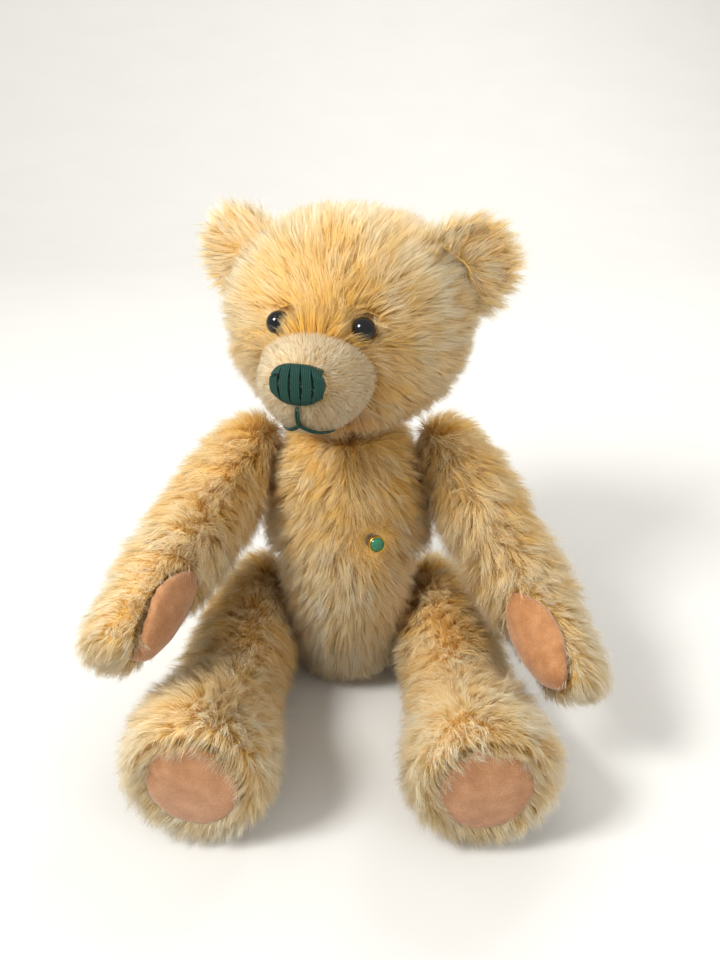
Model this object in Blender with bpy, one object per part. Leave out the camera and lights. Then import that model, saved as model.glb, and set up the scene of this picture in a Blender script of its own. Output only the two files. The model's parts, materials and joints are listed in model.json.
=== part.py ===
"""A jointed teddy bear, sitting with its legs forward: plush skins over stuffing, with a disc joint at the neck,
at each shoulder and at each hip. Metres, +Z up, the face towards -Y, the bear's left side towards +X.
The origin is the middle of the flat seat under the torso."""

import math

import bmesh
import bpy
from mathutils import Matrix, Vector
from mathutils.bvhtree import BVHTree

# Fits. GAP is left between any two pieces that touch.
GAP = 0.0003
PLUSH = 0.007  # backing cloth with its pile half pressed down
PLUSH_AT_JOINT = 0.0025  # the same plush pinched flat between two discs
PAD_RECESS = 0.0035  # how far a pad lies below the pile round it
PAD = 0.003

# Joint hardware: a cotter pin through two hardboard discs and two steel washers.
DISC = 0.003
WASHER = 0.001
WASHER_RADIUS = 0.0085
WIRE_RADIUS = 0.0008
WIRE_OFFSET = 0.00095  # each of the pin's two wires from its middle line
PIN_HOLE = 0.0022
EYE_OF_PIN = 0.0028
CROWN = 0.003  # radius of the curled pin ends
PIN_SEAT = GAP + PLUSH_AT_JOINT + GAP + DISC + GAP + WASHER + GAP
EYE_CENTRE = PIN_SEAT + EYE_OF_PIN + WIRE_RADIUS + 0.0002
CROWN_CENTRE = PIN_SEAT + 0.0018
PIN_ROOM = EYE_CENTRE + EYE_OF_PIN + WIRE_RADIUS + GAP

# Torso: height, and for each level the centre's y, half width and half depth.
TORSO_HEIGHT = 0.150
TORSO_LEVELS = (
    (0.000, -0.004, 0.024, 0.028),
    (0.004, -0.004, 0.029, 0.036),
    (0.014, -0.004, 0.0335, 0.044),
    (0.034, -0.003, 0.0380, 0.051),
    (0.060, -0.001, 0.0445, 0.054),
    (0.088, 0.002, 0.0475, 0.051),
    (0.112, 0.006, 0.0465, 0.044),
    (0.132, 0.010, 0.0400, 0.037),
    (0.145, 0.013, 0.030, 0.029),
    (0.150, 0.014, 0.023, 0.023),
)

# Neck and head. The head is drawn along its own nose line, from the back of the skull at +y to the muzzle at -y.
NECK_LEAN = 6  # degrees that the neck leans back
HEAD_TURN = -15  # degrees about the neck, towards the bear's right
HEAD_PITCH = 2  # degrees that the nose line points up from the neck's own level
HEAD_RISE = 0.054  # the nose line's height over the neck
NECK_DISC_RADIUS = 0.017
HEAD_SECTIONS = (
    (0.054, 0.002, 0.015, 0.013),
    (0.051, 0.002, 0.030, 0.027),
    (0.042, 0.002, 0.047, 0.042),
    (0.026, 0.002, 0.0610, 0.054),
    (0.006, 0.001, 0.0670, 0.059),
    (-0.014, 0.000, 0.0650, 0.0565),
    (-0.030, -0.003, 0.0550, 0.048),
    (-0.042, -0.010, 0.0410, 0.035),
    (-0.052, -0.015, 0.0310, 0.0275),
    (-0.063, -0.017, 0.0275, 0.0240),
    (-0.073, -0.018, 0.0235, 0.0205),
    (-0.080, -0.018, 0.0160, 0.0140),
    (-0.0825, -0.018, 0.0080, 0.0070),
)
HEAD_WIDENING = 0.07  # the skull is this share wider at the crown than at the nose line
EAR_RADIUS = 0.0265
EAR_THICKNESS = 0.015
EAR_CUP = 9.0  # curvature of the cupped ear, per metre
EAR_CENTRE = (0.0610, 0.006, 0.0320)
EAR_TURN = 18  # degrees that the hollow of the ear looks outwards
EAR_LEAN = 48  # degrees that the ear leans outwards from upright
EYE_RADIUS = 0.0062
EYE_SPACING = 0.044
EYE_HEIGHT = 0.009
EYE_PROUD = 0.0040  # how far the glass stands past the pressed pile
SHANK_RADIUS = 0.0018  # half width of the wire loop behind an eye
SHANK_WIRE = 0.0004
SHANK_LENGTH = 0.008
NOSE_HALF = (0.0145, 0.0052, 0.0092)
NOSE_CENTRE = (0.0, -0.0790, -0.0115)
THREAD_RADIUS = 0.0009
MOUTH_TOP = -0.0225
MOUTH_BOTTOM = -0.0335
SMILE_HALF_WIDTH = 0.0095
SMILE_DROP = 0.0035

# Chest stud: a small enamelled button on a shank, held by a washer inside the chest.
STUD_RADIUS = 0.0046
STUD_THICKNESS = 0.0024
STUD_SHANK_RADIUS = 0.0011
STUD_SIDE = 0.0160
STUD_HEIGHT = 0.101
STUD_WASHER_RADIUS = 0.0040

# Arms, drawn hanging from the shoulder pin: distance down, distance out, distance forward, half width, half depth.
SHOULDER = (0.0425, 0.008, 0.119)
ARM_DISC_RADIUS = 0.0135
ARM_SECTIONS = (
    (-0.0260, 0.0120, 0.000, 0.0100, 0.0110),
    (-0.0225, 0.0135, 0.000, 0.0145, 0.0165),
    (-0.0130, 0.0155, 0.000, 0.0190, 0.0225),
    (0.0050, 0.0175, 0.000, 0.0215, 0.0250),
    (0.0350, 0.0215, 0.000, 0.0220, 0.0250),
    (0.0700, 0.0260, 0.003, 0.0215, 0.0240),
    (0.1050, 0.0310, 0.009, 0.0215, 0.0235),
    (0.1300, 0.0335, 0.014, 0.0205, 0.0225),
    (0.1430, 0.0345, 0.017, 0.0160, 0.0180),
    (0.1480, 0.0350, 0.018, 0.0100, 0.0110),
)
ARM_TILT = 21  # degrees that the shoulder pins point upwards
ARM_BACK = 7  # degrees that the shoulder pins point backwards
ARM_SWING = {"left": 52, "right": 67}  # degrees that the arm is raised forward
PAW_PAD_CENTRE = 0.114  # distance down the arm
PAW_PAD_HALF = (0.0130, 0.0250)
PAW_PAD_BASE = 0.007  # how near the pad's edges come to the arm's middle
PAW_PAD_TURN = {"left": 62, "right": 35}  # degrees from inwards to forwards that the pad faces

# Legs, drawn hanging from the hip pin like the arms. They end in a flat sole.
HIP = (0.0310, -0.006, 0.0345)
LEG_DISC_RADIUS = 0.0150
LEG_SECTIONS = (
    (-0.0290, 0.0135, 0.000, 0.0120, 0.0140),
    (-0.0255, 0.0155, 0.000, 0.0165, 0.0200),
    (-0.0150, 0.0180, 0.000, 0.0215, 0.0270),
    (0.0050, 0.0200, 0.000, 0.0240, 0.0305),
    (0.0400, 0.0240, 0.000, 0.0240, 0.0300),
    (0.0800, 0.0250, 0.000, 0.0245, 0.0285),
    (0.1030, 0.0255, 0.003, 0.0280, 0.0305),
    (0.1230, 0.0260, 0.008, 0.0340, 0.0360),
    (0.1390, 0.0260, 0.009, 0.0365, 0.0380),
    (0.1480, 0.0260, 0.009, 0.0340, 0.0355),
    (0.1520, 0.0260, 0.009, 0.0290, 0.0310),
)
LEG_TILT = -6  # degrees that the hip pin points upwards
LEG_SPLAY = 4  # degrees that the legs spread from straight forward
LEG_SWING = 90  # degrees that the leg is raised forward
FOOT_PAD_HALF = (0.0205, 0.0235)

NECK_FLAT_RADIUS = 0.050  # radii within which the torso is flattened round its joints
SHOULDER_FLAT_RADIUS = 0.040
HIP_FLAT_RADIUS = 0.048
FLAT_REACH = 0.060  # how far down a limb its inner side is pressed flat

# How finely round shapes are drawn.
TORSO_MESH = (14, 22)  # rings, then segments round each ring
HEAD_MESH = (16, 24)
LIMB_MESH = (13, 16)
ROUND_SEGMENTS = 18
SMALL_SEGMENTS = 12

SIDES = {"left": 1, "right": -1}
COLOURS = {
    "plush": ((0.86, 0.60, 0.28), 0.95, 0.0),
    "stuffing": ((0.90, 0.88, 0.83), 1.0, 0.0),
    "felt": ((0.62, 0.33, 0.20), 0.95, 0.0),
    "hardboard": ((0.32, 0.19, 0.10), 0.8, 0.0),
    "steel": ((0.60, 0.60, 0.62), 0.35, 1.0),
    "glass": ((0.01, 0.01, 0.01), 0.05, 0.0),
    "thread": ((0.02, 0.16, 0.12), 0.6, 0.0),
    "enamel": ((0.02, 0.20, 0.12), 0.2, 0.0),
}


# --- Helpers -------------------------------------------------------------------------------------------------


def material(name):
    found = bpy.data.materials.get(name)
    if found:
        return found
    colour, roughness, metallic = COLOURS[name]
    made = bpy.data.materials.new(name)
    made.use_nodes = True
    shader = made.node_tree.nodes["Principled BSDF"]
    shader.inputs["Base Color"].default_value = (*colour, 1.0)
    shader.inputs["Roughness"].default_value = roughness
    shader.inputs["Metallic"].default_value = metallic
    return made


def empty(name, matrix):
    made = bpy.data.objects.new(name, None)
    made.empty_display_size = 0.02
    bpy.context.scene.collection.objects.link(made)
    made.matrix_world = matrix
    return made


def mesh_object(name, points, faces, frame, finish=None):
    """A mesh in the frame's own axes. With no finish it is a cutter, which isn't part of the bear."""
    mesh = bpy.data.meshes.new(name)
    mesh.from_pydata(points, [], faces)
    fix = bmesh.new()
    fix.from_mesh(mesh)
    bmesh.ops.recalc_face_normals(fix, faces=fix.faces)
    fix.to_mesh(mesh)
    fix.free()
    return placed(bpy.data.objects.new(name, mesh), frame, finish)


def placed(made, frame, finish):
    bpy.context.scene.collection.objects.link(made)
    made.parent = frame
    if finish:
        made.data.materials.append(material(finish))
        if made.type == "MESH":
            made.data.shade_smooth()
            made.data.set_sharp_from_angle(angle=math.radians(40))
    else:
        made.hide_render = True
        made.display_type = "WIRE"
    return made


def boolean(target, cutter, operation="DIFFERENCE"):
    added = target.modifiers.new(f"{operation.lower()} {cutter.name}", "BOOLEAN")
    added.object = cutter
    added.operation = operation
    added.solver = "EXACT"


def smooth_rows(rows, count):
    """Rows of numbers drawn again as count rows, on a Catmull-Rom curve through each column."""
    out = []
    for k in range(count):
        along = k * (len(rows) - 1) / (count - 1)
        i = min(int(along), len(rows) - 2)
        t = along - i
        before, after = rows[max(i - 1, 0)], rows[min(i + 2, len(rows) - 1)]
        row = []
        for a, b, c, d in zip(before, rows[i], rows[i + 1], after, strict=True):
            bend = (c - a) * t + (2 * a - 5 * b + 4 * c - d) * t**2 + (3 * b - a - 3 * c + d) * t**3
            row.append(b + bend / 2)
        out.append(tuple(row))
    return out


def inset(sections, depth):
    """Loft sections (along, across, up, half width, half depth) of the surface that lies depth inside."""
    first, last = sections[0][0], sections[-1][0]
    shrink = 1 - 2 * depth / abs(last - first)
    middle = (first + last) / 2
    return [
        (middle + (along - middle) * shrink, across, up, max(wide - depth, wide / 4), max(deep - depth, deep / 4))
        for along, across, up, wide, deep in sections
    ]


def loft_rings(sections, segments, widening=0.0):
    """Rings of (across, up, along) points round each section."""
    rings = []
    for along, across, up, wide, deep in sections:
        ring = []
        for k in range(segments):
            angle = 2 * math.pi * k / segments
            wider = 1 + widening * math.sin(angle)
            ring.append((across + wide * wider * math.cos(angle), up + deep * math.sin(angle), along))
        rings.append(ring)
    return rings


def skin_over(rings, axes):
    """Points and faces of rings joined into a closed tube. axes turns (across, up, along) into x, y, z."""
    points = [axes(*point) for ring in rings for point in ring]
    count = len(rings[0])
    faces = []
    for r in range(len(rings) - 1):
        for k in range(count):
            a, b = r * count + k, r * count + (k + 1) % count
            faces.append((a, b, b + count, a + count))
    faces.append(tuple(range(count)))
    faces.append(tuple(range((len(rings) - 1) * count, len(rings) * count)))
    return points, faces


def turned(name, profile, frame, finish=None, segments=ROUND_SEGMENTS):
    """A solid turned about the frame's X axis from (x, radius) points."""
    rings = [
        [
            (radius * math.cos(2 * math.pi * k / segments), radius * math.sin(2 * math.pi * k / segments), x)
            for k in range(segments)
        ]
        for x, radius in profile
    ]
    points, faces = skin_over(rings, lambda a, b, x: (x, a, b))
    return mesh_object(name, points, faces, frame, finish)


def flat_ring(name, x_near, thickness, radius, frame, finish, segments=ROUND_SEGMENTS, hole=PIN_HOLE):
    """A disc or washer with a hole, square to the frame's X axis."""
    corners = ((x_near, hole), (x_near, radius), (x_near + thickness, radius), (x_near + thickness, hole))
    points = [
        (x, r * math.cos(2 * math.pi * k / segments), r * math.sin(2 * math.pi * k / segments))
        for x, r in corners
        for k in range(segments)
    ]
    faces = []
    for c in range(4):
        for k in range(segments):
            near, far = c * segments, (c + 1) % 4 * segments
            after = (k + 1) % segments
            faces.append((near + k, near + after, far + after, far + k))
    return mesh_object(name, points, faces, frame, finish)


def ball(name, centre, half, frame, finish=None, segments=16, rings=9):
    """An ellipsoid with its poles along the frame's Z axis."""
    points = [(centre[0], centre[1], centre[2] - half[2])]
    for r in range(1, rings):
        polar = math.pi * r / rings
        for k in range(segments):
            angle = 2 * math.pi * k / segments
            points.append(
                (
                    centre[0] + half[0] * math.sin(polar) * math.cos(angle),
                    centre[1] + half[1] * math.sin(polar) * math.sin(angle),
                    centre[2] - half[2] * math.cos(polar),
                )
            )
    points.append((centre[0], centre[1], centre[2] + half[2]))
    top = len(points) - 1
    faces = []
    for k in range(segments):
        after = (k + 1) % segments
        faces.append((0, 1 + after, 1 + k))
        faces.append((top, top - segments + k, top - segments + after))
        for r in range(rings - 2):
            low = 1 + r * segments
            faces.append((low + k, low + after, low + segments + after, low + segments + k))
    return mesh_object(name, points, faces, frame, finish)


def block(name, low, high, frame):
    xs, ys, zs = zip(low, high, strict=True)
    points = [(x, y, z) for x in xs for y in ys for z in zs]
    faces = [(0, 1, 3, 2), (4, 6, 7, 5), (0, 4, 5, 1), (2, 3, 7, 6), (0, 2, 6, 4), (1, 5, 7, 3)]
    return mesh_object(name, points, faces, frame)


def wire(name, path, radius, frame, finish):
    """A round wire along a path, with its ends filled."""
    curve = bpy.data.curves.new(name, "CURVE")
    curve.dimensions = "3D"
    curve.bevel_depth = radius
    curve.bevel_resolution = 1
    curve.use_fill_caps = True
    spline = curve.splines.new("POLY")
    spline.points.add(len(path) - 1)
    for point, place in zip(spline.points, path, strict=True):
        point.co = (*place, 1.0)
    return placed(bpy.data.objects.new(name, curve), frame, finish)


def prism(name, half_wide, half_long, reach, matrix, frame, point_end=1.0, segments=24):
    """A cutter with a pad's outline, along the matrix's X axis. point_end above 1 narrows its ends to points."""
    rings = []
    for x in (-reach[0], reach[1]):
        ring = []
        for k in range(segments):
            angle = 2 * math.pi * k / segments
            narrow = abs(math.cos(angle)) ** point_end * math.copysign(1, math.cos(angle))
            place = matrix @ Vector((x, half_wide * narrow, half_long * math.sin(angle)))
            ring.append(tuple(place))
        rings.append(ring)
    points, faces = skin_over(rings, lambda x, y, z: (x, y, z))
    return mesh_object(name, points, faces, frame)


def rotation(degrees, axis):
    return Matrix.Rotation(math.radians(degrees), 4, axis)


def surface_at(points, faces, origin, direction):
    """Where a ray from outside meets a surface, and the outward normal there."""
    place, normal, _, _ = BVHTree.FromPolygons(points, faces).ray_cast(Vector(origin), Vector(direction))
    return place, normal if normal.dot(Vector(direction)) < 0 else -normal


# --- Joints --------------------------------------------------------------------------------------------------


def cotter_pin(name, frame, eye_side):
    """One bent wire: a crown at one end, up through the joint, round the eye and back down to the other crown."""
    crown = []
    for k in range(7):
        angle = math.pi * k / 6
        crown.append(
            (-CROWN_CENTRE - CROWN * math.sin(angle), WIRE_OFFSET + CROWN * (1 - math.cos(angle)))
        )
    crown.reverse()
    half_open = math.asin(WIRE_OFFSET / EYE_OF_PIN)
    eye = []
    for k in range(11):
        angle = math.pi - half_open - (2 * math.pi - 2 * half_open) * k / 10
        eye.append((EYE_CENTRE + EYE_OF_PIN * math.cos(angle), EYE_OF_PIN * math.sin(angle)))
    half = crown + [(0.0, WIRE_OFFSET)]
    other = [(x, -y) for x, y in reversed(half)]
    path = [(eye_side * x, 0.0, y) for x, y in half + eye + other]
    return wire(name, path, WIRE_RADIUS, frame, "steel")


def joint_room(name, frame, disc_radius, eye_side):
    """The space that a joint's hardware takes on both sides of it, with GAP all round."""
    inner = GAP + PLUSH_AT_JOINT
    washer_at = inner + GAP + DISC
    pin_at = washer_at + GAP + WASHER
    disc_r = disc_radius + GAP
    washer_r = WASHER_RADIUS + GAP
    crown_r = WIRE_OFFSET + 2 * CROWN + WIRE_RADIUS + GAP
    eye_r = EYE_OF_PIN + WIRE_RADIUS + GAP
    away = [(PIN_ROOM, eye_r), (pin_at + GAP, eye_r), (pin_at + GAP, washer_r), (washer_at + GAP, washer_r)]
    away += [(washer_at + GAP, disc_r), (inner, disc_r), (inner, PIN_HOLE)]
    back = [(-CROWN_CENTRE - CROWN - WIRE_RADIUS - GAP, crown_r), (-pin_at - GAP, crown_r)]
    back += [(-pin_at - GAP, washer_r), (-washer_at - GAP, washer_r), (-washer_at - GAP, disc_r)]
    back += [(-inner, disc_r), (-inner, PIN_HOLE)]
    profile = back + away[::-1]
    return turned(name, [(eye_side * x, radius) for x, radius in profile], frame)


def joint_hardware(name, frame, disc_radius, moving, eye_side):
    """Both discs, both washers and the pin of one joint. The eye of the pin is inside the moving piece."""
    disc_at = GAP + PLUSH_AT_JOINT + GAP
    washer_at = disc_at + DISC + GAP
    for where, side in ((moving, eye_side), (f"torso_{name}", -eye_side)):
        near = disc_at if side > 0 else -disc_at - DISC
        flat_ring(f"{where}_disc", near, DISC, disc_radius, frame, "hardboard")
        near = washer_at if side > 0 else -washer_at - WASHER
        flat_ring(f"{where}_washer", near, WASHER, WASHER_RADIUS, frame, "steel", SMALL_SEGMENTS + 4)
    cotter_pin(f"{name}_cotter_pin", frame, eye_side)


# --- Frames --------------------------------------------------------------------------------------------------


def neck_frame():
    place = Matrix.Translation((0, TORSO_LEVELS[-1][1], TORSO_HEIGHT - PLUSH_AT_JOINT / 2))
    # The pin's own axis is the frame's X, so the neck's frame is turned to put X upwards.
    return place @ rotation(-NECK_LEAN, "X") @ rotation(HEAD_TURN, "Z") @ rotation(-90, "Y")


def arm_frame(side):
    sign = SIDES[side]
    place = Matrix.Translation((sign * SHOULDER[0], SHOULDER[1], SHOULDER[2]))
    axis = rotation(sign * ARM_BACK, "Z") @ rotation(-sign * ARM_TILT, "Y")
    return place @ axis @ rotation(-ARM_SWING[side], "X")


def leg_frame(side):
    sign = SIDES[side]
    place = Matrix.Translation((sign * HIP[0], HIP[1], HIP[2]))
    return place @ rotation(sign * LEG_SPLAY, "Z") @ rotation(-sign * LEG_TILT, "Y") @ rotation(-LEG_SWING, "X")


# --- Torso ---------------------------------------------------------------------------------------------------


def torso_sections():
    return smooth_rows([(z, 0.0, y, wide, deep) for z, y, wide, deep in TORSO_LEVELS], TORSO_MESH[0])


def torso_surface(depth):
    rings = loft_rings(inset(torso_sections(), depth), TORSO_MESH[1])
    return skin_over(rings, lambda across, up, along: (across, up, along))


def make_torso(rooms, flats):
    root = empty("torso_frame", Matrix.Identity(4))
    skin = mesh_object("torso_skin", *torso_surface(0), root, "plush")
    stuffing = mesh_object("torso_stuffing", *torso_surface(PLUSH + GAP), root, "stuffing")
    cavity = mesh_object("torso_cavity", *torso_surface(PLUSH), root)
    boolean(skin, cavity)
    for outer, inner, deepest in flats:
        boolean(skin, outer)
        boolean(cavity, inner)
        boolean(stuffing, deepest)
    for room in rooms:
        boolean(skin, room)
        boolean(stuffing, room)
    make_stud(root, skin, stuffing)


def make_stud(root, skin, stuffing):
    """The enamelled stud on the chest, its shank through the plush, and the washer that holds it."""
    place, normal = surface_at(*torso_surface(0), (STUD_SIDE, -0.2, STUD_HEIGHT), (0, 1, 0))
    turn = normal.to_track_quat("X", "Z").to_matrix().to_4x4()
    seat = empty("chest_stud_frame", Matrix.Translation(place) @ turn)
    washer_at = -PLUSH - GAP - WASHER
    rim = STUD_RADIUS - 0.0008
    profile = (
        (washer_at - 0.001, STUD_SHANK_RADIUS),
        (-0.001, STUD_SHANK_RADIUS),
        (-0.001, STUD_RADIUS),
        (STUD_THICKNESS / 2, STUD_RADIUS),
        (STUD_THICKNESS, rim),
        (STUD_THICKNESS + 0.0008, rim / 2),
    )
    turned("chest_stud", profile, seat, "enamel", SMALL_SEGMENTS)
    hole = STUD_SHANK_RADIUS + GAP
    flat_ring("chest_stud_washer", washer_at, WASHER, STUD_WASHER_RADIUS, seat, "steel", SMALL_SEGMENTS, hole)
    room = turned(
        "stud_room",
        (
            (washer_at - 0.001 - GAP, STUD_SHANK_RADIUS + GAP),
            (washer_at - GAP, STUD_SHANK_RADIUS + GAP),
            (washer_at - GAP, STUD_WASHER_RADIUS + GAP),
            (washer_at + WASHER + GAP, STUD_WASHER_RADIUS + GAP),
            (washer_at + WASHER + GAP, STUD_SHANK_RADIUS + GAP),
            (-0.001 - GAP, STUD_SHANK_RADIUS + GAP),
            (-0.001 - GAP, STUD_RADIUS + GAP),
            (0.004, STUD_RADIUS + GAP),
        ),
        seat,
        segments=SMALL_SEGMENTS,
    )
    boolean(skin, room)
    boolean(stuffing, room)


# --- Head ----------------------------------------------------------------------------------------------------


def head_sections():
    return smooth_rows([(y, 0.0, z, wide, high) for y, z, wide, high in HEAD_SECTIONS], HEAD_MESH[0])


def head_surface(depth):
    """The head in its own axes: nose line along -y, crown towards +z."""
    rings = loft_rings(inset(head_sections(), depth), HEAD_MESH[1], HEAD_WIDENING)
    return skin_over(rings, lambda across, up, along: (across, along, up))


def make_head(neck, room, flat):
    """The head hangs on the neck's pin. head_frame has its nose line along -Y and its crown up."""
    upright = rotation(90, "Y") @ Matrix.Translation((0, 0, HEAD_RISE)) @ rotation(-HEAD_PITCH, "X")
    frame = empty("head_frame", neck.matrix_world @ upright)
    skin = mesh_object("head_skin", *head_surface(0), frame, "plush")
    stuffing = mesh_object("head_stuffing", *head_surface(PLUSH + GAP), frame, "stuffing")
    boolean(skin, mesh_object("head_cavity", *head_surface(PLUSH), frame))
    boolean(skin, flat)
    boolean(skin, room)
    boolean(stuffing, room)
    outside = mesh_object("head_outside", *head_surface(-GAP), frame)
    for side, sign in SIDES.items():
        make_ear(side, sign, frame, outside)
        make_eye(side, sign, frame, skin, stuffing)
    make_nose(frame, skin, stuffing)
    make_mouth(frame)


def make_ear(side, sign, frame, outside):
    """A cupped round ear of two plush layers, cut to the head where it is sewn on."""
    place = Matrix.Translation((sign * EAR_CENTRE[0], EAR_CENTRE[1], EAR_CENTRE[2]))
    turn = rotation(sign * EAR_TURN, "Z") @ rotation(sign * EAR_LEAN, "Y")
    own = empty(f"{side}_ear_frame", frame.matrix_world @ place @ turn)
    ear = ball(f"{side}_ear", (0, 0, 0), (EAR_RADIUS, EAR_THICKNESS / 2, EAR_RADIUS), own, "plush", 16, 10)
    for vertex in ear.data.vertices:
        vertex.co.y -= EAR_CUP * (vertex.co.x**2 + vertex.co.z**2) - EAR_CUP * EAR_RADIUS**2 / 2
    boolean(ear, outside)


def make_eye(side, sign, frame, skin, stuffing):
    """A round glass eye on a wire loop, which goes through the plush into the stuffing."""
    start = (sign * EYE_SPACING / 2, -0.2, EYE_HEIGHT)
    place, normal = surface_at(*head_surface(0), start, (0, 1, 0))
    # The eye looks half way between straight ahead and square to the plush.
    looks = (normal + Vector((0, -1, 0))).normalized()
    turn = looks.to_track_quat("X", "Z").to_matrix().to_4x4()
    middle = place - looks * (EYE_RADIUS - EYE_PROUD)
    own = empty(f"{side}_eye_frame", frame.matrix_world @ Matrix.Translation(middle) @ turn)
    size = (EYE_RADIUS,) * 3
    ball(f"{side}_eye", (0, 0, 0), size, own, "glass", 14, 8)
    start_at = EYE_RADIUS + GAP + SHANK_WIRE
    loop = []
    for k in range(9):
        angle = math.pi * (k / 8 - 0.5)
        loop.append((-start_at - SHANK_LENGTH - SHANK_RADIUS * math.cos(angle), 0.0, SHANK_RADIUS * math.sin(angle)))
    path = [(-start_at, 0.0, -SHANK_RADIUS), *loop, (-start_at, 0.0, SHANK_RADIUS)]
    wire(f"{side}_eye_loop", path, SHANK_WIRE, own, "steel")
    reach = start_at + SHANK_LENGTH + SHANK_RADIUS + SHANK_WIRE + GAP
    shank = SHANK_RADIUS + SHANK_WIRE + GAP
    hole = turned(f"{side}_shank_room", ((-reach, shank), (0, shank)), own, segments=SMALL_SEGMENTS)
    socket = ball(f"{side}_eye_room", (0, 0, 0), (EYE_RADIUS + GAP,) * 3, own, None, 14, 8)
    for body in (skin, stuffing):
        boolean(body, hole)
        boolean(body, socket)


def make_nose(frame, skin, stuffing):
    """The stitched nose, sunk by half its depth into the muzzle."""
    ball("nose_stitching", NOSE_CENTRE, NOSE_HALF, frame, "thread", 16, 8)
    room = ball("nose_room", NOSE_CENTRE, tuple(half + GAP for half in NOSE_HALF), frame, None, 16, 8)
    boolean(skin, room)
    boolean(stuffing, room)


def make_mouth(frame):
    """Two threads under the nose: one upright, and one that spreads to both sides like an anchor."""
    surface = head_surface(0)

    def on_muzzle(x, z):
        place, normal = surface_at(*surface, (x, -0.2, z), (0, 1, 0))
        return place + normal * (THREAD_RADIUS + GAP)

    upright = [
        on_muzzle(0.0, MOUTH_TOP + (MOUTH_BOTTOM - MOUTH_TOP) * k / 5) for k in range(6)
    ]
    wire("mouth_upright_thread", [tuple(p) for p in upright], THREAD_RADIUS, frame, "thread")
    smile = []
    for k in range(9):
        share = k / 4 - 1
        drop = SMILE_DROP * abs(share) ** 1.4
        smile.append(on_muzzle(SMILE_HALF_WIDTH * share, MOUTH_BOTTOM - 2 * THREAD_RADIUS - 2 * GAP - drop))
    wire("mouth_smile_thread", [tuple(p) for p in smile], THREAD_RADIUS, frame, "thread")


# --- Limbs ---------------------------------------------------------------------------------------------------


def limb_surface(sections, sign, depth):
    """A limb in its joint's axes: down the limb is -z, away from the torso is +x on the left and -x on the right."""
    rows = [(-down, out, -forward, wide, deep) for down, out, forward, wide, deep in sections]
    rings = loft_rings(inset(smooth_rows(rows, LIMB_MESH[0]), depth), LIMB_MESH[1])
    return skin_over(rings, lambda across, up, along: (sign * across, up, along))


def make_limb(name, sections, sign, frame, room, outer_flat, pad_cutters, floor=None):
    """Skin, stuffing and pad of one limb. outer_flat takes off what would reach past the joint's plane."""
    skin = mesh_object(f"{name}_skin", *limb_surface(sections, sign, 0), frame, "plush")
    stuffing = mesh_object(
        f"{name}_stuffing", *limb_surface(sections, sign, PLUSH + GAP), frame, "stuffing"
    )
    boolean(skin, mesh_object(f"{name}_cavity", *limb_surface(sections, sign, PLUSH), frame))
    boolean(skin, outer_flat)
    for body in (skin, stuffing):
        boolean(body, room)
    if floor:
        boolean(skin, floor)
    hole, outline = pad_cutters
    boolean(skin, hole)
    pad = mesh_object(f"{name}_pad", *limb_surface(sections, sign, PAD_RECESS), frame, "felt")
    inside = mesh_object(f"{name}_pad_inside", *limb_surface(sections, sign, PAD_RECESS + PAD), frame)
    boolean(pad, inside)
    boolean(pad, outline, "INTERSECT")


def limb_flat(name, sign, frame):
    """A cutter for everything on the torso's side of a limb's joint plane."""
    low, high = sorted((sign * GAP, sign * -0.06))
    return block(name, (low, -0.06, -FLAT_REACH), (high, 0.06, 0.06), frame)


def torso_flats(name, sign, frame, radius):
    """Cutters for what the torso's skin, cavity and stuffing have past a joint's plane, so that the limb
    lies flat on it and the plush there is pinched thin."""
    made = []
    for body, depth, wider in (
        ("skin", 0.0, 0.0),
        ("cavity", PLUSH_AT_JOINT, PLUSH),
        ("stuffing", PLUSH_AT_JOINT + GAP, PLUSH + GAP),
    ):
        ends = [(x, radius + wider) for x in (-sign * (GAP + depth), sign * 0.03)]
        made.append(turned(f"{name}_{body}", ends, frame))
    return made


def make_arm(side):
    sign = SIDES[side]
    frame = empty(f"{side}_arm_frame", arm_frame(side))
    room = joint_room(f"{side}_shoulder_room", frame, ARM_DISC_RADIUS, sign)
    flat = limb_flat(f"{side}_arm_flat", sign, frame)
    middle = limb_centre(ARM_SECTIONS, PAW_PAD_CENTRE, sign)
    facing = rotation(sign * (180 + PAW_PAD_TURN[side]), "Z")
    slope = rotation(-8 * sign, "Y")
    matrix = Matrix.Translation(middle) @ slope @ (facing if sign > 0 else facing @ rotation(180, "Z"))
    wide, long = PAW_PAD_HALF
    base = PAW_PAD_BASE
    hole = prism(f"{side}_paw_hole", wide + 2 * GAP, long + 3 * GAP, (-base, 0.05), matrix, frame, 1.35)
    outline = prism(f"{side}_paw_outline", wide, long, (-base - GAP, 0.05), matrix, frame, 1.35)
    make_limb(f"{side}_arm", ARM_SECTIONS, sign, frame, room, flat, (hole, outline))
    joint_hardware(f"{side}_shoulder", frame, ARM_DISC_RADIUS, f"{side}_arm", sign)
    return room, torso_flats(f"{side}_shoulder_flat", sign, frame, SHOULDER_FLAT_RADIUS)


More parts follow.
